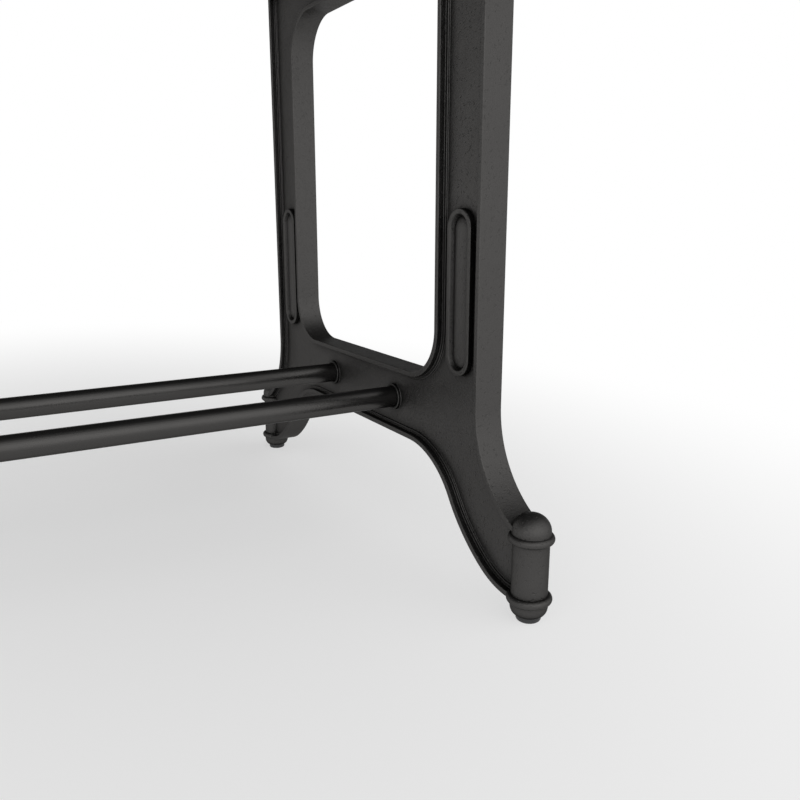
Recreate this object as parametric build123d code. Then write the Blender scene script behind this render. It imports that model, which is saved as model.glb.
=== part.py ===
from build123d import *
from math import cos, radians, sin, sqrt
import os

# Cast iron table base: two equal end frames joined by two stretcher tubes.
# Millimetres. The origin is on the floor, midway between the end frames and between the feet.
# +X runs along the stretchers, +Y from the front foot to the rear foot, and +Z is up.

# Whole base
BASE_HEIGHT = 710.0
FRAME_SPACING = 1200.0

# End frame, seen square on
LEG_OUTER = 265.0
LEG_WIDTH = 80.0
CROSSBAR_TOP = 218.0
CROSSBAR_DEPTH = 81.0
TOP_RAIL_DEPTH = 50.0
WINDOW_CORNER = 55.0

# Foot, from the crown of the arch out to the turned column
FOOT_REACH = 340.0
SOLE_HEIGHT = 21.0
SOLE_FLAT = 14.0
SHOULDER_RADIUS = 101.0
SHANK_SLOPE = 56.0
TOE_SLOPE = 29.6
TOE_RADIUS = 91.0
INSTEP_HEIGHT = 94.6
INSTEP_TURN = 70.0

# Section of the casting: a rim round every edge, a ledge inside it, and a web
CASTING_THICKNESS = 32.6
RIM_WIDTH = 6.0
RIM_DROP = 6.8
LEDGE_WIDTH = 4.0
LEDGE_DROP = 2.3

# Long ring moulding on each leg
MOULDING_FOOT = 229.0
MOULDING_HEIGHT = 171.6
MOULDING_WIDTH = 41.4
MOULDING_RISE = 6.3
MOULDING_RIDGE = 6.5
MOULDING_SINK = 4.7
MOULDING_GROOVE = 1.2
MOULDING_CROWN = 3.2
MOULDING_INSET = 0.8

# Turned foot column
COLUMN_RADIUS = 18.4
BEAD_RADIUS = 4.65
LOWER_BEAD_HEIGHT = 24.0
UPPER_BEAD_HEIGHT = 87.8
DOME_RADIUS = 19.5
DOME_SKIRT_TOP = 95.0
DOME_TOP = 113.2
CUP_RADIUS = 19.2
CUP_RIM_HEIGHT = 17.0
CUP_FOOT_RADIUS = 12.9

# Foot glide
GLIDE_RADIUS = 12.7
GLIDE_HEIGHT = 6.6
GLIDE_EDGE = 3.0
SPIGOT_RADIUS = 5.0
SPIGOT_LENGTH = 16.0
SPIGOT_CLEARANCE = 0.1

# Mounting plate under the table top
PLATE_WIDTH = 90.0
PLATE_THICKNESS = 8.0
PLATE_CORNER = 10.0
PLATE_COVE = 5.0
SCREW_HOLE_RADIUS = 3.5
SCREW_SPACING_X = 66.0
SCREW_SPACING_Y = 440.0

# Stretcher tubes and their sockets
TUBE_RADIUS = 12.7
TUBE_WALL = 2.0
TUBE_OFFSET = 84.0
TUBE_HEIGHT = 178.0
SOCKET_RADIUS = 16.0
SOCKET_RISE = 4.2
SOCKET_SINK = 3.0
SOCKET_CLEARANCE = 0.15

# Fastening of each tube end
PLUG_LENGTH = 32.0
PLUG_CLEARANCE = 0.05
BOLT_RADIUS = 4.0
BOLT_LENGTH = 35.0
BOLT_HOLE_CLEARANCE = 0.5
THREAD_CLEARANCE = 0.05
HEX_ACROSS_FLATS = 13.0
HEX_HEIGHT = 5.3
HEX_CHAMFER = 0.9
FLAT_WASHER_RADIUS = 8.0
FLAT_WASHER_THICKNESS = 1.6
LOCK_WASHER_RADIUS = 6.4
LOCK_WASHER_THICKNESS = 2.0
LOCK_WASHER_SLIT = 1.0
LOCK_WASHER_SLANT = 20.0
WASHER_CLEARANCE = 0.2

# Softened edges of the casting
RIM_EDGE = 1.2
MOULDING_EDGE = 1.2

# Places that follow from the sizes above
PANEL_DEPTH = RIM_DROP + LEDGE_DROP
WEB_HALF = CASTING_THICKNESS / 2 - PANEL_DEPTH
RAIL_TOP = BASE_HEIGHT - PLATE_THICKNESS
WINDOW_TOP = RAIL_TOP - TOP_RAIL_DEPTH
LEG_INNER = LEG_OUTER - LEG_WIDTH
LEG_MIDDLE = LEG_OUTER - LEG_WIDTH / 2
SOCKET_FLOOR = FRAME_SPACING / 2 - WEB_HALF + SOCKET_SINK
FRAME_PLANE = Plane.YZ.offset(FRAME_SPACING / 2)


def frame_outline():
    """Face of the end frame in its own plane: feet, arch, legs and top rail round the window."""
    crown = CROSSBAR_TOP - CROSSBAR_DEPTH
    slope, toe_slope, turn = radians(SHANK_SLOPE), radians(TOE_SLOPE), radians(INSTEP_TURN)
    shoulder_fall = SHOULDER_RADIUS * (1 - cos(slope))
    toe_fall = TOE_RADIUS * (1 - cos(toe_slope))
    shank_radius = (crown - SOLE_HEIGHT - shoulder_fall - toe_fall) / (cos(toe_slope) - cos(slope))
    shank_run = shank_radius * (sin(slope) - sin(toe_slope))
    shoulder_start = FOOT_REACH - SOLE_FLAT - TOE_RADIUS * sin(toe_slope) - shank_run
    shoulder_start -= SHOULDER_RADIUS * sin(slope)
    instep_radius = (FOOT_REACH - LEG_OUTER) / (1 - cos(turn))
    ankle = (LEG_OUTER, INSTEP_HEIGHT + instep_radius * sin(turn))
    with BuildSketch() as face:
        with BuildLine():
            flat = Line((0, crown), (shoulder_start, crown))
            shoulder = JernArc(flat @ 1, flat % 1, SHOULDER_RADIUS, -SHANK_SLOPE)
            shank = JernArc(shoulder @ 1, shoulder % 1, shank_radius, SHANK_SLOPE - TOE_SLOPE)
            toe = JernArc(shank @ 1, shank % 1, TOE_RADIUS, TOE_SLOPE)
            sole = Line(toe @ 1, (FOOT_REACH, SOLE_HEIGHT))
            instep = JernArc(ankle, (0, -1), instep_radius, INSTEP_TURN)
            Line(sole @ 1, instep @ 1)
            leg = Line(ankle, (LEG_OUTER, RAIL_TOP))
            Line(leg @ 1, (0, RAIL_TOP))
            mirror(about=Plane.YZ)
        make_face()
        with Locations((0, (CROSSBAR_TOP + WINDOW_TOP) / 2)):
            RectangleRounded(2 * LEG_INNER, WINDOW_TOP - CROSSBAR_TOP, WINDOW_CORNER, mode=Mode.SUBTRACT)
    return face.sketch


def both_faces(sketch, low, high):
    """The sketch raised between two distances from the frame's middle plane, on both faces of it."""
    raised = extrude(Pos(0, 0, low) * sketch, high - low)
    return [raised, mirror(raised, about=Plane.XY)]


def leg_moulding():
    """Long rings standing on the web of both legs, each with a crowned pill inside a sunk groove."""
    middle = MOULDING_FOOT + MOULDING_HEIGHT / 2
    straight = (MOULDING_HEIGHT - MOULDING_WIDTH) / 2
    inner_height = MOULDING_HEIGHT - 2 * MOULDING_RIDGE
    inner_width = MOULDING_WIDTH - 2 * MOULDING_RIDGE
    rise = WEB_HALF + MOULDING_RISE
    pill_half = inner_width / 2 - MOULDING_GROOVE
    pill_radius = (pill_half ** 2 + MOULDING_CROWN ** 2) / (2 * MOULDING_CROWN)
    slab = Rot(0, 0, 90) * extrude(SlotOverall(MOULDING_HEIGHT, MOULDING_WIDTH), rise, both=True)
    opening = Rot(0, 0, 90) * extrude(SlotOverall(inner_height, inner_width), MOULDING_SINK)
    pill = Rot(90, 0, 0) * Cylinder(pill_radius, 2 * straight)
    pill += [Pos(0, end * straight) * Sphere(pill_radius) for end in (-1, 1)]
    sunk = Pos(0, 0, rise - MOULDING_SINK) * (opening - Pos(0, 0, MOULDING_CROWN - pill_radius) * pill)
    ring = slab - sunk - mirror(sunk, about=Plane.XY)
    tops = ring.faces().filter_by(Axis.Z).group_by(Axis.Z)
    edges = tops[-1].edges() + tops[0].edges()
    ring = fillet(edges, MOULDING_EDGE)
    return [Pos(side * (LEG_MIDDLE - MOULDING_INSET), middle) * ring for side in (-1, 1)]


def foot_column():
    """Turned column of a foot: cup, two beads, plain shaft and domed head."""
    with BuildPart() as column:
        with BuildSketch(Plane.XZ):
            with BuildLine():
                base = Line((0, GLIDE_HEIGHT), (CUP_FOOT_RADIUS, GLIDE_HEIGHT))
                cup_height = CUP_RIM_HEIGHT - GLIDE_HEIGHT
                cup = EllipticalCenterArc(
                    (CUP_FOOT_RADIUS, CUP_RIM_HEIGHT), CUP_RADIUS - CUP_FOOT_RADIUS, cup_height,
                    start_angle=-90, arc_size=90)
                cup_top = Line(cup @ 1, (CUP_RADIUS, LOWER_BEAD_HEIGHT))
                shoulder = Line(cup_top @ 1, (COLUMN_RADIUS, LOWER_BEAD_HEIGHT))
                shaft = Line(shoulder @ 1, (COLUMN_RADIUS, UPPER_BEAD_HEIGHT))
                seat = Line(shaft @ 1, (DOME_RADIUS, UPPER_BEAD_HEIGHT))
                skirt = Line(seat @ 1, (DOME_RADIUS, DOME_SKIRT_TOP))
                dome = EllipticalCenterArc(
                    (0, DOME_SKIRT_TOP), DOME_RADIUS, DOME_TOP - DOME_SKIRT_TOP, start_angle=0, arc_size=90)
                Line(dome @ 1, base @ 0)
            make_face()
        revolve(axis=Axis.Z)
        for height in (LOWER_BEAD_HEIGHT, UPPER_BEAD_HEIGHT):
            with Locations((0, 0, height)):
                Torus(COLUMN_RADIUS, BEAD_RADIUS)
    return column.part


def mounting_plate():
    """Flat plate along the top rail with the table top's four screw holes, and the coves under it."""
    cove_reach = CASTING_THICKNESS / 2 + PLATE_COVE
    with BuildPart() as plate:
        with BuildSketch(Plane.XY.offset(RAIL_TOP)):
            RectangleRounded(PLATE_WIDTH, 2 * LEG_OUTER, PLATE_CORNER)
            with GridLocations(SCREW_SPACING_X, SCREW_SPACING_Y, 2, 2):
                Circle(SCREW_HOLE_RADIUS, mode=Mode.SUBTRACT)
        extrude(amount=PLATE_THICKNESS)
        with BuildSketch(Plane.XZ):
            with Locations((0, RAIL_TOP)):
                Rectangle(2 * cove_reach, PLATE_COVE, align=(Align.CENTER, Align.MAX))
            with Locations((-cove_reach, RAIL_TOP - PLATE_COVE), (cove_reach, RAIL_TOP - PLATE_COVE)):
                Circle(PLATE_COVE, mode=Mode.SUBTRACT)
        extrude(amount=LEG_OUTER - RIM_EDGE, both=True)
    return plate.part


def rimmed_panel():
    """Outline of the end frame raised to the casting's thickness, with both faces sunk inside their rims."""
    outline = frame_outline()
    half = CASTING_THICKNESS / 2
    body = extrude(outline, half, both=True)
    body -= both_faces(offset(outline, -RIM_WIDTH), half - RIM_DROP, half)
    body -= both_faces(offset(outline, -RIM_WIDTH - LEDGE_WIDTH), WEB_HALF, half - RIM_DROP)
    levels = body.faces().filter_by(Axis.Z).group_by(Axis.Z)
    rim_edges = (levels[0] + levels[-1]).edges()
    free_edges = [edge for edge in rim_edges
                  if edge.center().Y < RAIL_TOP - RIM_EDGE and abs(edge.center().X) < FOOT_REACH - RIM_EDGE]
    return fillet(free_edges, RIM_EDGE)


def end_frame():
    """The right end frame, one casting, with the stretcher sockets on its inner face."""
    body = FRAME_PLANE * (rimmed_panel() + leg_moulding())
    body += Pos(FRAME_SPACING / 2) * mounting_plate()
    for side in (-1, 1):
        foot = Pos(FRAME_SPACING / 2, side * FOOT_REACH)
        body += foot * foot_column()
        bore_depth = SPIGOT_LENGTH + SPIGOT_CLEARANCE
        body -= foot * Pos(0, 0, GLIDE_HEIGHT) * Cylinder(SPIGOT_RADIUS + SPIGOT_CLEARANCE, 2 * bore_depth)
    socket_height = SOCKET_RISE + SOCKET_SINK
    for row in (-1, 1):
        socket = Pos(SOCKET_FLOOR - socket_height / 2, row * TUBE_OFFSET, TUBE_HEIGHT) * Rot(0, 90, 0)
        body += socket * Cylinder(SOCKET_RADIUS, socket_height)
        body -= socket * Cylinder(TUBE_RADIUS + SOCKET_CLEARANCE, socket_height)
        through = Pos(FRAME_SPACING / 2, row * TUBE_OFFSET, TUBE_HEIGHT) * Rot(0, 90, 0)
        body -= through * Cylinder(BOLT_RADIUS + BOLT_HOLE_CLEARANCE, CASTING_THICKNESS)
    return body


def hollow(outer, inner, start, length):
    """A plain ring or tube along X, from its start."""
    along = Pos(start + length / 2, 0, TUBE_HEIGHT) * Rot(0, 90, 0)
    return along * (Cylinder(outer, length) - Cylinder(inner, length))


def stretcher_tube():
    """Round tube from socket floor to socket floor."""
    return hollow(TUBE_RADIUS, TUBE_RADIUS - TUBE_WALL, -SOCKET_FLOOR, 2 * SOCKET_FLOOR)


def tube_plug():
    """Turned steel plug in the tube's right end, tapped for the bolt."""
    outer = TUBE_RADIUS - TUBE_WALL - PLUG_CLEARANCE
    return hollow(outer, BOLT_RADIUS + THREAD_CLEARANCE, SOCKET_FLOOR - PLUG_LENGTH, PLUG_LENGTH)


def flat_washer():
    """Washer on the web's outer face."""
    start = FRAME_SPACING / 2 + WEB_HALF
    return hollow(FLAT_WASHER_RADIUS, BOLT_RADIUS + WASHER_CLEARANCE, start, FLAT_WASHER_THICKNESS)


def lock_washer():
    """Split spring washer between the flat washer and the bolt's head, its slit at the top."""
    start = FRAME_SPACING / 2 + WEB_HALF + FLAT_WASHER_THICKNESS
    ring = hollow(LOCK_WASHER_RADIUS, BOLT_RADIUS + WASHER_CLEARANCE, start, LOCK_WASHER_THICKNESS)
    middle = Pos(start + LOCK_WASHER_THICKNESS / 2, 0, TUBE_HEIGHT)
    slit = Box(2 * LOCK_WASHER_THICKNESS, LOCK_WASHER_SLIT, LOCK_WASHER_RADIUS,
               align=(Align.CENTER, Align.CENTER, Align.MIN))
    return ring - middle * Rot(0, 0, LOCK_WASHER_SLANT) * slit


def stretcher_bolt():
    """Hexagon bolt through the web into the plug, its head outside."""
    seat = FRAME_SPACING / 2 + WEB_HALF + FLAT_WASHER_THICKNESS + LOCK_WASHER_THICKNESS
    place = Plane(origin=(seat, 0, TUBE_HEIGHT), x_dir=(0, 1, 0), z_dir=(1, 0, 0))
    head = extrude(RegularPolygon(HEX_ACROSS_FLATS / 2, 6, major_radius=False), HEX_HEIGHT)
    crown = Cylinder(HEX_ACROSS_FLATS / sqrt(3), HEX_HEIGHT, align=(Align.CENTER, Align.CENTER, Align.MIN))
    crown = chamfer(crown.edges().group_by(Axis.Z)[-1], HEX_CHAMFER)
    shank = Cylinder(BOLT_RADIUS, BOLT_LENGTH, align=(Align.CENTER, Align.CENTER, Align.MAX))
    return place * ((head & crown) + shank)


def foot_glide():
    """Round glide under a foot, its spigot up the column's bore."""
    with BuildPart() as glide:
        with BuildSketch(Plane.XZ):
            with BuildLine():
                sole = Line((0, 0), (GLIDE_RADIUS - GLIDE_EDGE, 0))
                edge = JernArc(sole @ 1, (1, 0), GLIDE_EDGE, 90)
                Polyline(edge @ 1, (GLIDE_RADIUS, GLIDE_HEIGHT), (SPIGOT_RADIUS, GLIDE_HEIGHT),
                         (SPIGOT_RADIUS, GLIDE_HEIGHT + SPIGOT_LENGTH), (0, GLIDE_HEIGHT + SPIGOT_LENGTH), (0, 0))
            make_face()
        revolve(axis=Axis.Z)
    return glide.part


def save(shape, node):
    """Writes one piece as its own file."""
    export_step(shape, f"parts/{node}.step")


os.makedirs("parts", exist_ok=True)

right_frame = end_frame()
save(right_frame, "end_frame_right")
save(mirror(right_frame, about=Plane.YZ), "end_frame_left")

fastenings = {"tube_plug": tube_plug(), "flat_washer": flat_washer(), "lock_washer": lock_washer(),
              "stretcher_bolt": stretcher_bolt()}
for row, side in (("front", -1), ("rear", 1)):
    at_row = Pos(0, side * TUBE_OFFSET)
    save(at_row * stretcher_tube(), f"stretcher_tube_{row}")
    for name, piece in fastenings.items():
        placed = at_row * piece
        save(placed, f"{name}_{row}_right")
        save(mirror(placed, about=Plane.YZ), f"{name}_{row}_left")
    for end, reach in (("right", 1), ("left", -1)):
        foot = Pos(reach * FRAME_SPACING / 2, side * FOOT_REACH)
        save(foot * foot_glide(), f"foot_glide_{row}_{end}")
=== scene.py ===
"""Cast iron table base, dressed for a studio picture and laid out as a Blender add-on."""

from math import acos, cos, pi, radians, sin, sqrt

import bmesh
import bpy
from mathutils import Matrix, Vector


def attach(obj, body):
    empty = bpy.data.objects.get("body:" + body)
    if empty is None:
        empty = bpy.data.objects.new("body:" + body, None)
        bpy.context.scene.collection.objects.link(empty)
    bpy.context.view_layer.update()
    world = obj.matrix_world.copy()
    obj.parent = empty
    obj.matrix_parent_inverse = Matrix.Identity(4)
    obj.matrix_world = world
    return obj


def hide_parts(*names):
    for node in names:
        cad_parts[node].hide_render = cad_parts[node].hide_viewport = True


bl_info = {
    "name": "Cast Iron Table Base",
    "version": (1, 0, 0),
    "blender": (4, 5, 0),
    "location": "3D View > Sidebar > Table Base",
    "description": "Models and finishes the end frames, stretcher tubes, fasteners and glides "
                   "of a cast iron table base",
    "category": "Object",
}

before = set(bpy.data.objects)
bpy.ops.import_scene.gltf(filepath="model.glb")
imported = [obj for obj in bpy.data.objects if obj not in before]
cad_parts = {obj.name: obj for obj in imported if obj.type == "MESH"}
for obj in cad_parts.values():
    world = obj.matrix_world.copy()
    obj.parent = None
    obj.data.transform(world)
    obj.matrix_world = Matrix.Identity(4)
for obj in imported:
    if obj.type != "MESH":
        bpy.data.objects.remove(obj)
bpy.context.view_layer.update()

# The ends along X and the rows along Y, with the side of the middle that each lies on.
SIDES = {"right": 1, "left": -1}
ROWS = {"front": -1, "rear": 1}


# Sizes and colours that a user may change. Lengths are in metres.

def length(name, default, description):
    """A length property."""
    return bpy.props.FloatProperty(
        name=name, description=description, default=default, min=0, precision=5,
        unit="LENGTH", subtype="DISTANCE")


def turn(name, default, description):
    """An angle property, its default given in degrees."""
    return bpy.props.FloatProperty(
        name=name, description=description, default=radians(default),
        unit="ROTATION", subtype="ANGLE")


def share(name, default, description):
    """A property from nothing to one."""
    return bpy.props.FloatProperty(
        name=name, description=description, default=default, min=0, max=1, subtype="FACTOR")


def colour(name, default, description):
    """A linear colour property."""
    return bpy.props.FloatVectorProperty(
        name=name, description=description, default=default, size=3, min=0, max=1,
        subtype="COLOR")


def point(name, default, description):
    """A property for a point in space."""
    return bpy.props.FloatVectorProperty(
        name=name, description=description, default=default,
        subtype="TRANSLATION", unit="LENGTH")


def watts(name, default, description):
    """A property for the power of a lamp."""
    return bpy.props.FloatProperty(
        name=name, description=description, default=default, min=0, unit="POWER")


class OutlineSizes(bpy.types.PropertyGroup):
    """Outline of an end frame, seen square on."""
    frame_spacing: length(
        "Frame spacing", 1.2, "Distance between the middles of the two end frames")
    rail_top: length("Rail top", 0.702, "Height of the top rail, under the mounting plate")
    rail_depth: length("Rail depth", 0.05, "Depth of the top rail above the window")
    leg_outer: length("Leg outer", 0.265, "Distance from the middle to a leg's outer side")
    leg_width: length("Leg width", 0.08, "Width of a leg, seen square on")
    crossbar_top: length("Crossbar top", 0.218, "Height of the crossbar's upper side")
    crossbar_depth: length(
        "Crossbar depth", 0.081, "Depth of the crossbar at the crown of the arch")
    window_corner: length("Window corner", 0.055, "Radius of the window's corners")
    foot_reach: length("Foot reach", 0.34, "Distance from the middle to a foot column's axis")
    sole_height: length("Sole height", 0.021, "Height of the casting's lower side at the column")
    sole_flat: length("Sole flat", 0.014, "Level run of the lower side before the column's axis")
    shoulder_radius: length(
        "Shoulder radius", 0.101, "Radius of the arch where it leaves the crown")
    shank_slope: turn("Shank slope", 56, "Steepest slope of the arch")
    toe_slope: turn("Toe slope", 29.6, "Slope where the arch begins to level out")
    toe_radius: length("Toe radius", 0.091, "Radius of the arch where it levels out")
    instep_height: length(
        "Instep height", 0.0946, "Height of the foot's upper side at the column's axis")
    instep_turn: turn("Instep turn", 70, "Turn of the foot's upper side from the leg to the column")


class SectionSizes(bpy.types.PropertyGroup):
    """Section of the casting, the same on both faces."""
    thickness: length("Thickness", 0.0326, "Thickness of the casting over its rims")
    rim_width: length("Rim width", 0.006, "Width of the rim that follows every edge")
    rim_drop: length("Rim drop", 0.0068, "Step from the rim down to the ledge")
    ledge_width: length("Ledge width", 0.004, "Width of the ledge inside the rim")
    ledge_drop: length("Ledge drop", 0.0023, "Step from the ledge down to the web")
    edge_round: length("Edge rounding", 0.0009, "Radius of the casting's edges and roots")
    ring_foot: length("Ring foot", 0.229, "Height of the lower end of a leg's long ring")
    ring_height: length("Ring height", 0.1716, "Height of the long ring")
    ring_width: length("Ring width", 0.0414, "Width of the long ring")
    ring_rise: length("Ring rise", 0.0063, "How far the long ring stands above the web")
    ring_ridge: length("Ring ridge", 0.0065, "Width of the long ring's ridge")
    ring_draft: length(
        "Ring draft", 0.0011, "How far the groove's outer wall leans out from its middle height")
    ring_sink: length("Ring sink", 0.0047, "Depth of the groove inside the long ring")
    ring_groove: length("Ring groove", 0.0012, "Width of the groove inside the long ring")
    ring_crown: length(
        "Ring crown", 0.0032, "How far the long ring's centre rises out of the groove")
    ring_inset: length(
        "Ring inset", 0.0008,
        "How far the long ring stands from the leg's middle, towards the window")
    plate_width: length("Plate width", 0.09, "Width of the mounting plate")
    plate_thickness: length("Plate thickness", 0.008, "Thickness of the mounting plate")
    plate_corner: length("Plate corner", 0.01, "Radius of the mounting plate's corners")
    plate_cove: length("Plate cove", 0.005, "Radius of the cove between plate and rail")
    screw_hole: length("Screw hole", 0.0035, "Radius of a screw hole")
    screw_spacing_x: length(
        "Screw spacing across", 0.066, "Distance between screw holes across the plate")
    screw_spacing_y: length(
        "Screw spacing along", 0.44, "Distance between screw holes along the plate")


class TurnedSizes(bpy.types.PropertyGroup):
    """Turned forms: foot columns, stretcher tubes and their sockets."""
    column_radius: length("Column radius", 0.0184, "Radius of a foot column's shaft")
    bead_radius: length("Bead radius", 0.00465, "Radius of a bead's section")
    lower_bead: length("Lower bead", 0.024, "Height of the lower bead")
    upper_bead: length("Upper bead", 0.0878, "Height of the upper bead")
    dome_radius: length("Dome radius", 0.0195, "Radius of the domed head")
    dome_skirt: length("Dome skirt", 0.095, "Height at which the dome begins to close")
    dome_top: length("Dome top", 0.1132, "Height of the dome's top")
    column_round: length("Column rounding", 0.0004, "Radius where a column's forms meet")
    cup_radius: length("Cup radius", 0.0192, "Radius of the cup under the lower bead")
    cup_rim: length("Cup rim", 0.017, "Height at which the cup is widest")
    cup_foot: length("Cup foot", 0.0129, "Radius of the cup at its foot")
    glide_height: length("Glide height", 0.0066, "Height of a glide under the cup")
    tube_radius: length("Tube radius", 0.0127, "Outer radius of a stretcher tube")
    tube_wall: length("Tube wall", 0.002, "Wall of a stretcher tube")
    tube_offset: length("Tube offset", 0.084, "Distance from the middle to a stretcher tube's axis")
    tube_height: length("Tube height", 0.178, "Height of a stretcher tube's axis")
    socket_radius: length("Socket radius", 0.016, "Outer radius of a tube's socket")
    socket_rise: length("Socket rise", 0.0042, "How far a socket stands above the web")
    socket_sink: length("Socket sink", 0.003, "How far a tube goes into the web")
    socket_gap: length("Socket gap", 0.00015, "Gap between a tube and its socket")


class Finishes(bpy.types.PropertyGroup):
    """Colours and surface of the four finishes."""
    iron_paint: colour(
        "Iron paint", (0.0790, 0.0767, 0.0748), "Satin graphite paint on the cast iron")
    # Lighter paint along edges: worn paint, and a painted highlight there too.
    iron_rubbed_and_highlit: colour(
        "Rubbed and highlit paint", (0.145, 0.141, 0.137), "The same paint where edges are rubbed")
    iron_gloss: share("Iron roughness", 0.44, "Roughness of the paint on the cast iron")
    grain_depth: length("Grain depth", 0.00035, "Depth of the cast grain")
    rub_and_highlight_width: length("Rubbed and highlit width", 0.0016, "Width of the rubbed band along an edge")
    # Painted shade: the paint is darkened deep in grooves and corners, where shade falls.
    painted_shade_reach: length("Painted shade reach", 0.016, "Reach of the darker tone in grooves and corners")
    painted_shade_tone: share(
        "Painted shade tone", 0.2, "Share of the tone that is left deep in grooves and corners")
    paint_metal: share("Metal in the paint", 0.93, "How metallic the graphite paint is")
    paint_edge: colour(
        "Paint at a glance", (0.4, 0.4, 0.4),
        "Tint of the paint where it is seen along the surface")
    tube_paint: colour(
        "Tube paint", (0.0740, 0.0719, 0.0700), "The same paint on the drawn steel tube")
    tube_gloss: share("Tube roughness", 0.3, "Roughness of the paint on the tube")
    tube_grain: length("Tube grain depth", 0.00016, "Depth of the paint's skin on the tube")
    zinc: colour("Zinc plating", (0.22, 0.22, 0.215), "Dark plated steel of bolts and washers")
    zinc_gloss: share("Zinc roughness", 0.36, "Roughness of the plating")
    zinc_metal: share("Metal in the plating", 0.9, "How metallic the plating is")
    mark_depth: length("Mark depth", 0.00002, "Depth of the turning marks under the plating")
    nylon: colour("Nylon", (0.028, 0.028, 0.029), "Black nylon of the glides")
    nylon_gloss: share("Nylon roughness", 0.5, "Roughness of the nylon")
    nylon_grain: length("Nylon grain depth", 0.00004, "Depth of the nylon's skin")
    scuff_height: length("Scuff height", 0.0035, "How far up from the floor a glide is scuffed")


class StudioSettings(bpy.types.PropertyGroup):
    """Floor, light and camera."""
    floor_colour: colour("Floor colour", (0.86, 0.86, 0.86), "Pale studio floor")
    floor_radius: length("Floor radius", 14, "Radius of the studio floor")
    # Round the shade place the floor shows less of the backdrop's white, a painted shade.
    shade_place: point("Shade place", (0.3, 0.25, 0), "Where the floor is darkest")
    shade_stretch: bpy.props.FloatVectorProperty(
        name="Shade stretch", description="How fast the floor grows whiter along each axis",
        default=(1.25, 0.8, 1), min=0)
    fade_near: share(
        "Fade near", 0.48, "Share of the backdrop's white in the floor where it is darkest")
    fade_start: length(
        "Fade start", 0.1, "Distance at which the floor begins to fade into the backdrop")
    fade_end: length("Fade end", 1.6, "Distance at which the floor is as white as the backdrop")
    sky_level: bpy.props.FloatProperty(
        name="Room light", description="Strength of the light that the room gives",
        default=1.1, min=0)
    front_level: watts("Front lamp", 8, "Power of the large lamp in front")
    side_level: watts("Side lamp", 4, "Power of the large lamp on the left")
    camera_place: point("Camera place", (0.1334, -0.8863, 0.398), "Where the camera stands")
    camera_yaw: turn(
        "Camera yaw", 30.1975, "Turn of the camera to the right, away from the rear")
    camera_pitch: turn("Camera pitch", 13.6848, "Tilt of the camera below the horizon")
    camera_lens: bpy.props.FloatProperty(
        name="Lens", description="Focal length on the camera's sensor",
        default=35.0, min=1, unit="CAMERA")


# Modelling: the steps that all pieces share, and the pen that draws profiles.

MERGE = 1e-5                # Distance in metres at which points become one.
WELD = 1e-6                 # The same for the points of a CAD node, for its shading alone.
ALONG = 0.9                 # Least share of a direction that counts as along an axis.
SHARP = radians(30)         # Turn at an edge past which it is rounded, or crisp on a CAD node.
RIDGE_SHARP = radians(45)   # Turn past which an edge along a long ring's ridge is rounded.
PLATE_SHARP = radians(50)   # Turn past which an edge of the mounting plate is rounded.
SMOOTH = radians(38)        # Turn at an edge up to which a new piece is shaded smoothly.
ARC_STEP = radians(2.5)     # Turn from one edge of an arc to the next.
ELLIPSE_STEPS = 16          # Edges in a quarter of an ellipse.
DOME_STEPS = 24             # Edges in the profile of a foot column's dome.
TURNED_STEPS = 96           # Faces round a turned form.
PILL_STEPS = 9              # Steps from the edge of a long ring's centre to its middle.
CORNER_STEPS = 10           # Faces round a corner of the mounting plate.
HOLE_STEPS = 48             # Faces round a screw hole.
RIDGE_ROUND = 1.4           # Rounding of a long ring's ridge, in the casting's edge roundings.
PLATE_ROUND = 0.6           # Rounding of the mounting plate's edges, in the same.
COVE_SHORT = 1.3            # How far a cove stops short of the leg's side, in the same.
FLIP_X = (-1, 1, 1)
FLIP_Y = (1, -1, 1)


def begin_mesh(name):
    """Starts an empty mesh object at the origin, open in edit mode."""
    bpy.ops.object.select_all(action="DESELECT")
    bpy.ops.mesh.primitive_plane_add(size=1, location=(0, 0, 0))
    bpy.context.object.name = name
    bpy.ops.object.mode_set(mode="EDIT")
    bpy.ops.mesh.select_mode(type="VERT")
    bpy.ops.mesh.delete(type="VERT")


def end_mesh():
    """Closes the mesh in edit mode, its doubles merged and its faces turned outwards."""
    bpy.ops.mesh.select_all(action="SELECT")
    bpy.ops.mesh.remove_doubles(threshold=MERGE)
    bpy.ops.mesh.normals_make_consistent(inside=False)
    bpy.ops.object.mode_set(mode="OBJECT")
    return bpy.context.object


def pick(kind, test):
    """Selects the faces or edges that pass a test, and nothing else."""
    bpy.ops.mesh.select_mode(type=kind)
    bpy.ops.mesh.select_all(action="DESELECT")
    shape = bmesh.from_edit_mesh(bpy.context.edit_object.data)
    for part in shape.faces if kind == "FACE" else shape.edges:
        if test(part):
            part.select_set(True)
    bmesh.update_edit_mesh(bpy.context.edit_object.data)


def move(vector):
    """Moves what is selected."""
    bpy.ops.transform.translate(value=vector)


def extrude(vector):
    """Extrudes what is selected."""
    bpy.ops.mesh.extrude_region_move(TRANSFORM_OT_translate={"value": vector})


def inset(width):
    """Insets the selected faces as one region."""
    bpy.ops.mesh.inset(thickness=width, depth=0, use_boundary=True, use_even_offset=True)


def fill_outline():
    """Closes the outline in the open mesh and fills it with one face."""
    bpy.ops.mesh.select_all(action="SELECT")
    bpy.ops.mesh.remove_doubles(threshold=MERGE)
    bpy.ops.mesh.edge_face_add()


def turns_more(edge, angle):
    """Whether the two faces at an edge turn by more than an angle."""
    return edge.is_manifold and edge.calc_face_angle(0) > angle


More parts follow.
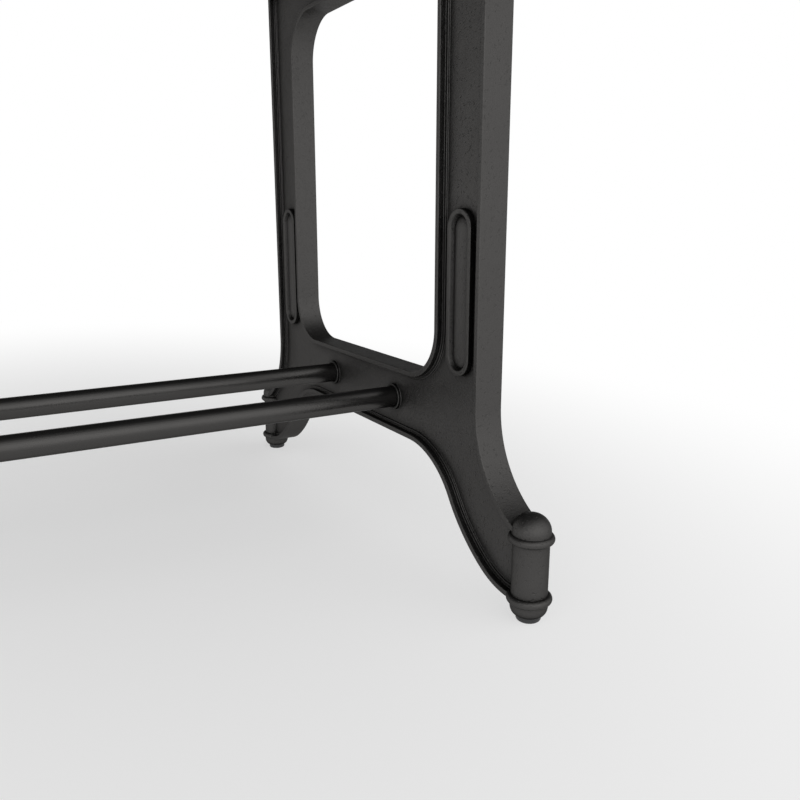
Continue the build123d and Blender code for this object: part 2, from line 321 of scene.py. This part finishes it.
def round_sharp(radius, segments, least=SHARP):
    """Rounds every edge that turns by more than an angle."""
    pick("EDGE", lambda edge: turns_more(edge, least))
    bpy.ops.mesh.bevel(offset=radius, offset_type="OFFSET", segments=segments, profile=0.5,
                       affect="EDGES", clamp_overlap=True, loop_slide=True)


def choose(piece):
    """Selects a piece and nothing else, and makes it the active one."""
    bpy.ops.object.select_all(action="DESELECT")
    piece.select_set(True)
    bpy.context.view_layer.objects.active = piece


def settle(piece, place=(0, 0, 0), turned=(0, 0, 0)):
    """Puts a piece in its place and writes the place into its mesh."""
    piece.location = place
    piece.rotation_euler = turned
    choose(piece)
    bpy.ops.object.transform_apply(location=True, rotation=True, scale=True)
    return piece


def mirror_image(piece, name, flip):
    """A mirror image of a piece about the origin, with a mesh of its own."""
    twin = piece.copy()
    twin.data = piece.data.copy()
    twin.name = name
    bpy.context.scene.collection.objects.link(twin)
    twin.scale = flip
    settle(twin)
    bpy.ops.object.mode_set(mode="EDIT")
    return end_mesh()


def join(name, pieces):
    """Joins pieces into one object."""
    choose(pieces[0])
    for piece in pieces:
        piece.select_set(True)
    bpy.ops.object.join()
    whole = bpy.context.object
    whole.name = name
    whole.data.name = name
    return whole


def apply_modifier(piece, kind, **settings):
    """Adds a modifier and applies it."""
    choose(piece)
    modifier = piece.modifiers.new(kind.title(), kind)
    for key, value in settings.items():
        setattr(modifier, key, value)
    bpy.ops.object.modifier_apply(modifier=modifier.name)


def shade(piece):
    """Smooth shading that keeps flat faces flat and sharp edges crisp."""
    choose(piece)
    bpy.ops.object.shade_smooth_by_angle(angle=SMOOTH)
    apply_modifier(piece, "WEIGHTED_NORMAL", mode="FACE_AREA", weight=80, keep_sharp=True)


class Pen:
    """Draws a chain of edges in the YZ plane by extruding one point of the open mesh."""

    def __init__(self, y, z):
        bpy.ops.mesh.primitive_plane_add(size=1, location=(0, 0, 0))
        bpy.ops.mesh.merge(type="CENTER")
        move((0, y, z))
        self.y, self.z = y, z

    def line(self, y, z):
        """A straight edge to a point."""
        extrude((0, y - self.y, z - self.z))
        self.y, self.z = y, z
        return self

    def arc(self, centre_y, centre_z, angle):
        """An arc about a centre. Positive angles turn from +Y towards +Z."""
        steps = max(2, round(abs(angle) / ARC_STEP))
        bpy.ops.mesh.spin(
            steps=steps, angle=angle, center=(0, centre_y, centre_z), axis=(-1, 0, 0))
        out_y, out_z = self.y - centre_y, self.z - centre_z
        self.y = centre_y + out_y * cos(angle) - out_z * sin(angle)
        self.z = centre_z + out_y * sin(angle) + out_z * cos(angle)
        return self

    def quarter_ellipse(self, centre_y, centre_z, start, reach_y, reach_z, steps=ELLIPSE_STEPS):
        """Short edges along an ellipse, from one angle on by a quarter of a turn."""
        for step in range(1, steps + 1):
            at = start + pi / 2 * step / steps
            self.line(centre_y + reach_y * cos(at), centre_z + reach_z * sin(at))
        return self


def turned_form():
    """Spins the open mesh's profile once round the Z axis and closes the mesh."""
    bpy.ops.mesh.select_all(action="SELECT")
    bpy.ops.mesh.spin(steps=TURNED_STEPS, angle=2 * pi, center=(0, 0, 0), axis=(0, 0, 1))
    return end_mesh()


def frame_panel(shape, section):
    """The flat casting: outline and window, with both faces sunk inside rim and ledge."""
    crown = shape.crossbar_top - shape.crossbar_depth
    window_top = shape.rail_top - shape.rail_depth
    leg_inner = shape.leg_outer - shape.leg_width
    steep, level = shape.shank_slope, shape.toe_slope
    shoulder, toe = shape.shoulder_radius, shape.toe_radius
    fall = shoulder * (1 - cos(steep)) + toe * (1 - cos(level))
    shank = (crown - shape.sole_height - fall) / (cos(level) - cos(steep))
    toe_start = shape.foot_reach - shape.sole_flat - toe * sin(level)
    crown_end = toe_start - shank * (sin(steep) - sin(level)) - shoulder * sin(steep)
    instep = (shape.foot_reach - shape.leg_outer) / (1 - cos(shape.instep_turn))
    instep_arc = shape.instep_turn - shape.sole_flat / instep
    ankle = shape.instep_height + instep * sin(shape.instep_turn)

    # Under the crossbar and the foot: crown, shoulder, shank, toe and sole.
    begin_mesh("panel")
    pen = Pen(0, crown).line(crown_end, crown)
    pen.arc(pen.y, pen.z - shoulder, -steep)
    pen.arc(pen.y + shank * sin(steep), pen.z + shank * cos(steep), steep - level)
    pen.arc(pen.y + toe * sin(level), pen.z + toe * cos(level), level)
    pen.line(shape.foot_reach, shape.sole_height)
    # Up the column's axis, along the instep to the leg and over the top rail.
    pen.line(shape.foot_reach, shape.instep_height)
    pen.line(shape.leg_outer + instep * (1 - cos(instep_arc)), ankle - instep * sin(instep_arc))
    pen.arc(shape.leg_outer + instep, ankle, -instep_arc)
    pen.line(shape.leg_outer, shape.rail_top).line(0, shape.rail_top)
    # Half of the window.
    corner = shape.window_corner
    pen = Pen(0, shape.crossbar_top).line(leg_inner - corner, shape.crossbar_top)
    pen.arc(pen.y, pen.z + corner, pi / 2).line(leg_inner, window_top - corner)
    pen.arc(pen.y - corner, pen.z, pi / 2).line(0, window_top)

    bpy.ops.mesh.select_all(action="SELECT")
    bpy.ops.mesh.duplicate()
    bpy.ops.transform.resize(value=FLIP_Y, center_override=(0, 0, 0))
    bpy.ops.mesh.select_all(action="SELECT")
    bpy.ops.mesh.remove_doubles(threshold=MERGE)
    bpy.ops.mesh.fill(use_beauty=True)
    bpy.ops.mesh.select_all(action="SELECT")
    move((-section.thickness / 2, 0, 0))
    extrude((section.thickness, 0, 0))
    bpy.ops.mesh.select_all(action="SELECT")
    bpy.ops.mesh.normals_make_consistent(inside=False)
    for side in (-1, 1):
        pick("FACE", lambda face: face.normal.x * side > ALONG
             and face.calc_center_median().x * side > 0)
        inset(section.rim_width)
        extrude((-side * section.rim_drop, 0, 0))
        inset(section.ledge_width)
        extrude((-side * section.ledge_drop, 0, 0))
    round_sharp(section.edge_round, segments=3)
    return end_mesh()


def web_half(section):
    """Distance from a casting's middle plane to its web's surface."""
    return section.thickness / 2 - section.rim_drop - section.ledge_drop


def long_ring(shape, section):
    """Long ring on a leg: a rounded ridge, a groove inside it and a crowned pill, on both faces."""
    half_width = section.ring_width / 2
    straight = section.ring_height / 2 - half_width
    middle = section.ring_foot + section.ring_height / 2
    top = web_half(section) + section.ring_rise
    pill_half = half_width - section.ring_ridge - section.ring_groove
    pill_radius = (pill_half ** 2 + section.ring_crown ** 2) / (2 * section.ring_crown)
    begin_mesh("ring")
    pen = Pen(half_width, -straight).line(half_width, straight).arc(0, straight, pi)
    pen.line(-half_width, -straight).arc(0, -straight, pi)
    fill_outline()
    move((-top, 0, 0))
    extrude((2 * top, 0, 0))
    for side in (-1, 1):
        pick("FACE", lambda face: abs(face.calc_center_median().x - side * top) < MERGE)
        inset(section.ring_ridge - section.ring_draft)
        inset(2 * section.ring_draft)
        move((-side * section.ring_sink, 0, 0))
        inset(section.ring_groove - section.ring_draft)
        out, height = pill_half, 0
        for step in range(1, PILL_STEPS):
            nearer = pill_half * (1 - step / PILL_STEPS)
            higher = sqrt(pill_radius ** 2 - nearer ** 2) - pill_radius + section.ring_crown
            inset(out - nearer)
            move((side * (higher - height), 0, 0))
            out, height = nearer, higher
    pick("EDGE", lambda edge: turns_more(edge, RIDGE_SHARP)
         and all(abs(abs(vert.co.x) - top) < MERGE for vert in edge.verts))
    bpy.ops.mesh.bevel(
        offset=RIDGE_ROUND * section.edge_round, segments=4, profile=0.5, affect="EDGES")
    leg_middle = shape.leg_outer - shape.leg_width / 2
    return settle(end_mesh(), (0, leg_middle - section.ring_inset, middle))


def foot_column(shape, turned):
    """Turned column of a foot: cup, lower bead, shaft, upper bead and dome."""
    bead, shaft = turned.bead_radius, turned.column_radius
    cup_out, dome_out = turned.cup_radius - shaft, turned.dome_radius - shaft
    begin_mesh("column")
    pen = Pen(0, turned.glide_height).line(turned.cup_foot, turned.glide_height)
    pen.quarter_ellipse(
        turned.cup_foot, turned.cup_rim, -pi / 2,
        turned.cup_radius - turned.cup_foot, turned.cup_rim - turned.glide_height)
    pen.line(turned.cup_radius, turned.lower_bead - sqrt(bead ** 2 - cup_out ** 2))
    pen.arc(shaft, turned.lower_bead, pi / 2 + acos(cup_out / bead))
    pen.line(shaft, turned.upper_bead - bead)
    pen.arc(shaft, turned.upper_bead, pi / 2 + acos(dome_out / bead))
    pen.line(turned.dome_radius, turned.dome_skirt)
    pen.quarter_ellipse(
        0, turned.dome_skirt, 0,
        turned.dome_radius, turned.dome_top - turned.dome_skirt, steps=DOME_STEPS)
    column = turned_form()
    bpy.ops.object.mode_set(mode="EDIT")
    round_sharp(turned.column_round, segments=2)
    end_mesh()
    return settle(column, (0, shape.foot_reach, 0))


def tube_socket(section, turned, row):
    """Raised ring that a tube's end goes into, with a soft root on the web."""
    inner = turned.tube_radius + turned.socket_gap
    edge = section.edge_round
    begin_mesh("socket")
    pen = Pen(inner, -turned.socket_sink).line(inner, turned.socket_rise - edge)
    pen.arc(inner + edge, pen.z, -pi / 2).line(turned.socket_radius - edge, turned.socket_rise)
    pen.arc(pen.y, pen.z - edge, -pi / 2).line(turned.socket_radius, edge)
    pen.arc(turned.socket_radius + edge, pen.z, pi / 2).line(pen.y, -turned.socket_sink)
    pen.line(inner, -turned.socket_sink)
    place = (-web_half(section), row * turned.tube_offset, turned.tube_height)
    return settle(turned_form(), place, (0, -pi / 2, 0))


def mounting_plate(shape, section):
    """Flat plate on the top rail with four screw holes, and the cove that joins it to the rail."""
    begin_mesh("plate")
    bpy.ops.mesh.primitive_cube_add(size=1, location=(0, 0, 0))
    bpy.ops.transform.resize(
        value=(section.plate_width, 2 * shape.leg_outer, section.plate_thickness),
        center_override=(0, 0, 0))
    pick("EDGE", lambda edge: abs((edge.verts[0].co - edge.verts[1].co).normalized().z) > ALONG)
    bpy.ops.mesh.bevel(
        offset=section.plate_corner, segments=CORNER_STEPS, profile=0.5, affect="EDGES")
    plate = end_mesh()
    for across in (-1, 1):
        for along in (-1, 1):
            place = (across * section.screw_spacing_x / 2, along * section.screw_spacing_y / 2, 0)
            bpy.ops.object.select_all(action="DESELECT")
            bpy.ops.mesh.primitive_cylinder_add(
                vertices=HOLE_STEPS, radius=section.screw_hole,
                depth=2 * section.plate_thickness, location=place)
            drill = bpy.context.object
            apply_modifier(plate, "BOOLEAN", operation="DIFFERENCE", solver="EXACT", object=drill)
            bpy.data.objects.remove(drill)
    bpy.ops.object.mode_set(mode="EDIT")
    round_sharp(PLATE_ROUND * section.edge_round, segments=2, least=PLATE_SHARP)
    bpy.ops.object.mode_set(mode="OBJECT")
    settle(plate, (0, 0, shape.rail_top + section.plate_thickness / 2))

    half_run = shape.leg_outer - COVE_SHORT * section.edge_round
    near = section.thickness / 2
    cove = section.plate_cove
    begin_mesh("cove")
    pen = Pen(near - cove / 2, 0).line(near + cove, 0).arc(near + cove, -cove, pi / 2)
    pen.line(near - cove / 2, -cove).line(near - cove / 2, 0)
    fill_outline()
    extrude((2 * half_run, 0, 0))
    right_cove = settle(end_mesh(), (0, -half_run, shape.rail_top), (0, 0, pi / 2))
    return plate, right_cove


# Shader maths as Python expressions, and the finishes made with it.

EDGE_TURN = (0.002, 0.12)   # How far a softened normal leaves the true one, from flat to edge.
# The painted shade in grooves and corners fades out over this share of open sky.
OPEN_SKY = (0.5, 0.93)      # Share of open sky, from deep in a groove to open ground.


class Wire:
    """A socket of a node tree that takes part in sums."""

    def __init__(self, finish, socket):
        self.finish = finish
        self.socket = socket

    def _math(self, operation, *values):
        return self.finish.node(
            "ShaderNodeMath", {"operation": operation}, dict(enumerate(values)))

    def __add__(self, other):
        return self._math("ADD", self, other)

    def __radd__(self, other):
        return self._math("ADD", other, self)

    def __sub__(self, other):
        return self._math("SUBTRACT", self, other)

    def __rsub__(self, other):
        return self._math("SUBTRACT", other, self)

    def __mul__(self, other):
        return self._math("MULTIPLY", self, other)

    def clamped(self):
        """The value kept between nothing and one."""
        return self.finish.node("ShaderNodeClamp", {}, {"Value": self})

    def between(self, low, high):
        """Nothing at the low value, one at the high value and smooth in between."""
        return self.finish.node(
            "ShaderNodeMapRange", {"interpolation_type": "SMOOTHSTEP"},
            {"Value": self, "From Min": low, "From Max": high})

    def swing(self, reach):
        """A noise that swings about nothing, over a reach from its lowest to its highest."""
        return (self - 0.5) * reach


class Finish:
    """A node tree of a material or a world, filled by one method."""

    def __init__(self, owner):
        owner.use_nodes = True
        self.owner = owner
        self.tree = owner.node_tree
        self.tree.nodes.clear()

    def node(self, kind, settings, values, output=0):
        """Adds a node, sets its settings and then its sockets, and gives one of its outputs."""
        made = self.tree.nodes.new(kind)
        for key, value in settings.items():
            setattr(made, key, value)
        for key, value in values.items():
            if isinstance(value, Wire):
                self.tree.links.new(value.socket, made.inputs[key])
            else:
                made.inputs[key].default_value = value
        return Wire(self, made.outputs[output]) if made.outputs else None

    def place(self):
        """Object coordinates, in metres."""
        return self.node("ShaderNodeTexCoord", {}, {}, "Object")

    def noise(self, place, size, detail, roughness=0.5):
        """Noise with grains about as large as a size in metres."""
        return self.node("ShaderNodeTexNoise", {}, {
            "Vector": place, "Scale": 1 / size, "Detail": detail, "Roughness": roughness})

    def stretched(self, place, scale):
        """Coordinates stretched along each axis."""
        return self.node("ShaderNodeVectorMath", {"operation": "MULTIPLY"}, {0: place, 1: scale})

    def mixed(self, factor, first, second):
        """One colour passing into another as a factor rises, on the Mix node's colour sockets."""
        return self.node(
            "ShaderNodeMix", {"data_type": "RGBA"}, {0: factor, 6: first, 7: second}, 2)

    def edges(self, radius):
        """Nothing on flat ground, rising to one on edges and in corners."""
        soft = self.node("ShaderNodeBevel", {"samples": 6}, {"Radius": radius})
        crisp = self.node("ShaderNodeNewGeometry", {}, {}, "Normal")
        alike = self.node(
            "ShaderNodeVectorMath", {"operation": "DOT_PRODUCT"}, {0: soft, 1: crisp}, "Value")
        return (1 - alike).between(*EDGE_TURN)

    def painted_shade_in_recesses(self, reach):
        """Where shade is painted: nothing on open ground, rising to one deep in grooves and
        corners.
        """
        open_sky = self.node(
            "ShaderNodeAmbientOcclusion", {"samples": 4}, {"Distance": reach}, "AO")
        return 1 - open_sky.between(*OPEN_SKY)

    def bump(self, height, depth):
        """A normal tipped by a height, where one stands a depth above nothing."""
        return self.node(
            "ShaderNodeBump", {}, {"Strength": 1, "Distance": depth, "Height": height})

    def surface(self, values):
        """Ends the tree in a principled surface."""
        shader = self.node("ShaderNodeBsdfPrincipled", {}, values)
        self.node("ShaderNodeOutputMaterial", {}, {"Surface": shader})
        return self.owner


def rgba(tone, level=1):
    """An opaque colour, made darker or lighter by a level."""
    return (*(min(1, level * value) for value in tone), 1)


def iron_finish(look):
    """Satin graphite paint over sand cast iron: grain, pits, soft waves, worn edges with a painted
    highlight, and painted shade in grooves.
    """
    paint = Finish(bpy.data.materials.new("painted_cast_iron"))
    place = paint.place()
    grain = paint.noise(place, size=0.0017, detail=4, roughness=0.6)
    pits = paint.noise(place, size=0.0035, detail=2).between(0.60, 0.72)
    waves = paint.noise(place, size=0.035, detail=2)
    patches = paint.noise(place, size=0.14, detail=4, roughness=0.6)
    scattered = paint.noise(place, size=0.02, detail=4).between(0.30, 0.66)
    # Edges are lighter and smoother: worn paint, with a painted highlight in the lighter tone.
    rubbed_and_highlit = paint.edges(look.rub_and_highlight_width) * scattered
    dusty = patches.between(0.52, 0.78) * 0.5 + pits * 0.4
    tone = paint.mixed(rubbed_and_highlit, rgba(look.iron_paint), rgba(look.iron_rubbed_and_highlit))
    tone = paint.mixed(dusty, tone, rgba(look.iron_paint, level=0.82))
    # Painted shade: the tone darkens deep in grooves and corners.
    tone = paint.mixed(
        paint.painted_shade_in_recesses(look.painted_shade_reach), tone, rgba(look.iron_paint, level=look.painted_shade_tone))
    rough = look.iron_gloss + patches.swing(0.16) + grain.swing(0.22) - rubbed_and_highlit * 0.07
    height = grain * 0.8 - pits * 0.7 + waves * 3
    return paint.surface({
        "Base Color": tone, "Roughness": rough.clamped(), "Metallic": look.paint_metal,
        "Specular Tint": rgba(look.paint_edge), "Normal": paint.bump(height, look.grain_depth)})


def tube_finish(look):
    """The same satin paint over smooth drawn tube, with faint lines along it."""
    paint = Finish(bpy.data.materials.new("painted_steel_tube"))
    place = paint.place()
    skin = paint.noise(place, size=0.0016, detail=3, roughness=0.55)
    lines = paint.noise(paint.stretched(place, (0.02, 1, 1)), size=0.0012, detail=2)
    patches = paint.noise(place, size=0.09, detail=4, roughness=0.6)
    dusty = patches.between(0.5, 0.8) * 0.6
    tone = paint.mixed(dusty, rgba(look.tube_paint), rgba(look.tube_paint, level=0.86))
    rough = look.tube_gloss + patches.swing(0.12) + skin.swing(0.14)
    height = skin * 0.7 + lines * 0.5
    return paint.surface({
        "Base Color": tone, "Roughness": rough.clamped(), "Metallic": look.paint_metal,
        "Specular Tint": rgba(look.paint_edge), "Normal": paint.bump(height, look.tube_grain)})


def plated_finish(look):
    """Dark zinc plated steel with fine turning marks, dulled patches and brighter edges."""
    steel = Finish(bpy.data.materials.new("zinc_plated_steel"))
    place = steel.place()
    marks = steel.noise(steel.stretched(place, (1, 0.2, 0.2)), size=0.0004, detail=3)
    patches = steel.noise(place, size=0.004, detail=4, roughness=0.6)
    dulled = patches.between(0.42, 0.7)
    tone = steel.mixed(dulled, rgba(look.zinc), rgba(look.zinc, level=0.6))
    tone = steel.mixed(steel.edges(0.0005) * 0.7, tone, rgba(look.zinc, level=1.7))
    rough = look.zinc_gloss + patches.swing(0.3) + marks.swing(0.2)
    return steel.surface({
        "Base Color": tone, "Roughness": rough.clamped(), "Metallic": look.zinc_metal,
        "Normal": steel.bump(marks, look.mark_depth)})


def nylon_finish(look):
    """Moulded black nylon, scuffed paler towards the floor."""
    nylon = Finish(bpy.data.materials.new("black_nylon"))
    place = nylon.place()
    skin = nylon.noise(place, size=0.0006, detail=3, roughness=0.6)
    scuffs = nylon.noise(nylon.stretched(place, (1, 1, 3)), size=0.0022, detail=4, roughness=0.65)
    height = nylon.node("ShaderNodeSeparateXYZ", {}, {0: place}, "Z")
    scuffed = (1 - height.between(0, look.scuff_height)) * scuffs.between(0.5, 0.75)
    tone = nylon.mixed(scuffed * 0.7, rgba(look.nylon), rgba(look.nylon, level=2.2))
    rough = look.nylon_gloss + skin.swing(0.2) + scuffed * 0.15
    return nylon.surface({
        "Base Color": tone, "Roughness": rough.clamped(),
        "Normal": nylon.bump(skin, look.nylon_grain)})


def dress(piece, finish):
    """Gives a piece its one material."""
    piece.data.materials.clear()
    piece.data.materials.append(finish)


def dress_node(node, finish):
    """Gives a CAD node its finish and smooth curves, with its points left alone."""
    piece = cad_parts[node]
    piece.data.materials.clear()
    piece.data.materials.append(finish)
    piece.data.shade_smooth()
    weld = piece.modifiers.new("Weld", "WELD")
    weld.merge_threshold = WELD
    split = piece.modifiers.new("Crisp edges", "EDGE_SPLIT")
    split.split_angle = SHARP
    piece.modifiers.new("Flat ground", "WEIGHTED_NORMAL")


# One operator for each group of pieces, and one for the stage.

class TABLE_BASE_OT_end_frames(bpy.types.Operator):
    """Models both cast end frames and paints them"""
    bl_idname = "table_base.end_frames"
    bl_label = "End Frames"

    def execute(self, context):
        scene = context.scene
        shape, section, turned = scene.base_outline, scene.base_section, scene.base_turned
        ring = long_ring(shape, section)
        column = foot_column(shape, turned)
        parts = [frame_panel(shape, section)]
        parts += [ring, mirror_image(ring, "ring_front", FLIP_Y)]
        parts += [column, mirror_image(column, "column_front", FLIP_Y)]
        parts += [tube_socket(section, turned, row) for row in ROWS.values()]
        plate, cove = mounting_plate(shape, section)
        parts += [plate, cove, mirror_image(cove, "cove_left", FLIP_X)]
        right = settle(join("casting_right", parts), (shape.frame_spacing / 2, 0, 0))
        shade(right)
        left = mirror_image(right, "casting_left", FLIP_X)
        shade(left)
        finish = iron_finish(scene.base_finishes)
        for piece, end in zip((right, left), SIDES):
            dress(piece, finish)
            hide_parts(f"end_frame_{end}")
            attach(piece, "root")
        return {"FINISHED"}


class TABLE_BASE_OT_stretcher_tubes(bpy.types.Operator):
    """Models both stretcher tubes and paints them"""
    bl_idname = "table_base.stretcher_tubes"
    bl_label = "Stretcher Tubes"

    def execute(self, context):
        scene = context.scene
        shape, section, turned = scene.base_outline, scene.base_section, scene.base_turned
        half = shape.frame_spacing / 2 - web_half(section) + turned.socket_sink
        outer = turned.tube_radius
        inner = outer - turned.tube_wall
        edge = turned.tube_wall / 4
        begin_mesh("stretcher_front")
        pen = Pen(inner, -half).line(outer - edge, -half).line(outer, edge - half)
        pen.line(outer, half - edge).line(outer - edge, half).line(inner, half).line(inner, -half)
        place = (0, ROWS["front"] * turned.tube_offset, turned.tube_height)
        front = settle(turned_form(), place, (0, pi / 2, 0))
        rear = mirror_image(front, "stretcher_rear", FLIP_Y)
        finish = tube_finish(scene.base_finishes)
        for piece, row in zip((front, rear), ROWS):
            shade(piece)
            dress(piece, finish)
            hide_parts(f"stretcher_tube_{row}")
            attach(piece, "root")
        return {"FINISHED"}


class TABLE_BASE_OT_fasteners(bpy.types.Operator):
    """Finishes the bolts, washers and tube plugs"""
    bl_idname = "table_base.fasteners"
    bl_label = "Fasteners"

    def execute(self, context):
        finish = plated_finish(context.scene.base_finishes)
        for kind in ("stretcher_bolt", "flat_washer", "lock_washer", "tube_plug"):
            for row in ROWS:
                for end in SIDES:
                    dress_node(f"{kind}_{row}_{end}", finish)
        return {"FINISHED"}


class TABLE_BASE_OT_glides(bpy.types.Operator):
    """Finishes the glides under the feet"""
    bl_idname = "table_base.glides"
    bl_label = "Foot Glides"

    def execute(self, context):
        finish = nylon_finish(context.scene.base_finishes)
        for row in ROWS:
            for end in SIDES:
                dress_node(f"foot_glide_{row}_{end}", finish)
        return {"FINISHED"}


# Each lamp's place, the point that it looks at, and its width and height, in metres.
FRONT_LAMP = ((0.2, -3.4, 1.5), (0, 0, 0.35), (3.4, 2.4))
SIDE_LAMP = ((-3.2, -0.6, 1.4), (0, 0, 0.3), (2.4, 2.0))

# The room's light by direction, where each axis runs from -1 to 1.
FRONT_EDGE = (-0.45, 0.15)      # Part of the Y axis over which the bright front fades out.
FRONT_TOP = (0.7, 1.1)          # Part of the Z axis over which the front fades out.
WALL_TOP = (0.2, 0.55)          # Part of the Z axis over which the walls fade out.
WALL_ACROSS = (-1, 0.3)         # Part of the X axis over which the walls lose some light.
WALL_LEVEL = 0.8                # Light of the walls on the left.
WALL_FALL = 0.3                 # Light that they lose towards the right.
CEILING_LEVEL = 0.05            # Light that is left everywhere.

FLOOR_STEPS = 96                # Edges round the studio floor.
SENSOR_WIDTH = 36               # In millimetres.
CLIP_START, CLIP_END = 0.02, 60  # Nearest and farthest that the camera sees.
WHITE = (1, 1, 1, 1)


def area_lamp(name, place, aim, size, energy):
    """A large soft lamp that looks at a point."""
    bpy.ops.object.light_add(type="AREA", location=place)
    lamp = bpy.context.object
    lamp.name = name
    lamp.data.shape = "RECTANGLE"
    lamp.data.size, lamp.data.size_y = size
    lamp.data.energy = energy
    lamp.rotation_euler = (Vector(aim) - Vector(place)).to_track_quat("-Z", "Y").to_euler()


class TABLE_BASE_OT_stage(bpy.types.Operator):
    """Sets the floor, the light and the camera"""
    bl_idname = "table_base.stage"
    bl_label = "Stage"

    def execute(self, context):
        scene = context.scene
        studio = scene.base_studio
        bpy.ops.object.select_all(action="DESELECT")
        bpy.ops.mesh.primitive_circle_add(
            vertices=FLOOR_STEPS, radius=studio.floor_radius, fill_type="NGON",
            location=(0, 0, 0))
        floor = context.object
        floor.name = "studio_floor"
        floor.data.materials.append(self.floor_finish(studio))
        scene.world = self.room_light(studio)
        area_lamp("front_lamp", *FRONT_LAMP, studio.front_level)
        area_lamp("side_lamp", *SIDE_LAMP, studio.side_level)
        bpy.ops.object.camera_add(
            location=studio.camera_place,
            rotation=(pi / 2 - studio.camera_pitch, 0, -studio.camera_yaw))
        camera = context.object
        camera.name = "studio_camera"
        camera.data.sensor_width = SENSOR_WIDTH
        camera.data.lens = studio.camera_lens
        camera.data.clip_start, camera.data.clip_end = CLIP_START, CLIP_END
        scene.camera = camera
        scene.view_settings.view_transform = "Standard"
        return {"FINISHED"}

    def floor_finish(self, studio):
        """Pale floor that fades into the white backdrop with distance from the shade place, round
        which it is darker: a painted shade, beside the shadow that the lit floor keeps.
        """
        floor = Finish(bpy.data.materials.new("studio_floor"))
        away = floor.node(
            "ShaderNodeVectorMath", {"operation": "SUBTRACT"},
            {0: floor.place(), 1: studio.shade_place})
        far = floor.node(
            "ShaderNodeVectorMath", {"operation": "LENGTH"},
            {0: floor.stretched(away, studio.shade_stretch)}, "Value")
        matt = floor.node("ShaderNodeBsdfDiffuse", {}, {"Color": rgba(studio.floor_colour)})
        white = floor.node("ShaderNodeEmission", {}, {"Color": WHITE, "Strength": 1})
        seen = floor.node("ShaderNodeLightPath", {}, {}, "Is Camera Ray")
        glossy = floor.node("ShaderNodeLightPath", {}, {}, "Is Glossy Ray")
        through = floor.node("ShaderNodeLightPath", {}, {}, "Is Transmission Ray")
        whiter = far.between(studio.fade_start, studio.fade_end)
        faded = whiter * (1 - studio.fade_near) + studio.fade_near
        surface = floor.node("ShaderNodeMixShader", {}, {
            0: faded * (seen + glossy + through).clamped(), 1: matt, 2: white})
        floor.node("ShaderNodeOutputMaterial", {}, {"Surface": surface})
        return floor.owner

    def room_light(self, studio):
        """Bright front, low walls all round and a dark ceiling. The camera sees only white."""
        room = Finish(bpy.data.worlds.new("studio_room"))
        way = room.node("ShaderNodeTexCoord", {}, {}, "Generated")
        across = room.node("ShaderNodeSeparateXYZ", {}, {0: way}, "X")
        back = room.node("ShaderNodeSeparateXYZ", {}, {0: way}, "Y")
        up = room.node("ShaderNodeSeparateXYZ", {}, {0: way}, "Z")
        front = (1 - back.between(*FRONT_EDGE)) * (1 - up.between(*FRONT_TOP))
        level = WALL_LEVEL - across.between(*WALL_ACROSS) * WALL_FALL
        walls = (1 - up.between(*WALL_TOP)) * level + CEILING_LEVEL
        light = (front + (1 - front) * walls) * studio.sky_level
        seen = room.node("ShaderNodeLightPath", {}, {}, "Is Camera Ray")
        glow = room.node("ShaderNodeBackground", {}, {
            "Color": WHITE, "Strength": seen + (1 - seen) * light})
        room.node("ShaderNodeOutputWorld", {}, {"Surface": glow})
        return room.owner


OPERATORS = (
    TABLE_BASE_OT_end_frames, TABLE_BASE_OT_stretcher_tubes, TABLE_BASE_OT_fasteners,
    TABLE_BASE_OT_glides, TABLE_BASE_OT_stage)
SETTINGS = {
    "base_outline": OutlineSizes, "base_section": SectionSizes, "base_turned": TurnedSizes,
    "base_finishes": Finishes, "base_studio": StudioSettings}


class TABLE_BASE_PT_panel(bpy.types.Panel):
    """Lists the steps and their settings"""
    bl_idname = "TABLE_BASE_PT_panel"
    bl_label = "Table Base"
    bl_space_type = "VIEW_3D"
    bl_region_type = "UI"
    bl_category = "Table Base"

    def draw(self, context):
        for operator in OPERATORS:
            self.layout.operator(operator.bl_idname)
        for name, group in SETTINGS.items():
            box = self.layout.box()
            box.label(text=group.__doc__)
            for key in group.__annotations__:
                box.prop(getattr(context.scene, name), key)


def register():
    """Registers the settings, the operators and the panel."""
    for name, group in SETTINGS.items():
        bpy.utils.register_class(group)
        setattr(bpy.types.Scene, name, bpy.props.PointerProperty(type=group))
    for operator in OPERATORS:
        bpy.utils.register_class(operator)
    bpy.utils.register_class(TABLE_BASE_PT_panel)


def unregister():
    """Takes back what register adds."""
    bpy.utils.unregister_class(TABLE_BASE_PT_panel)
    for operator in reversed(OPERATORS):
        bpy.utils.unregister_class(operator)
    for name, group in reversed(SETTINGS.items()):
        delattr(bpy.types.Scene, name)
        bpy.utils.unregister_class(group)


def main():
    """Builds the dressed table base."""
    register()
    bpy.ops.table_base.end_frames()
    bpy.ops.table_base.stretcher_tubes()
    bpy.ops.table_base.fasteners()
    bpy.ops.table_base.glides()
    bpy.ops.table_base.stage()


if __name__ == "__main__":
    main()
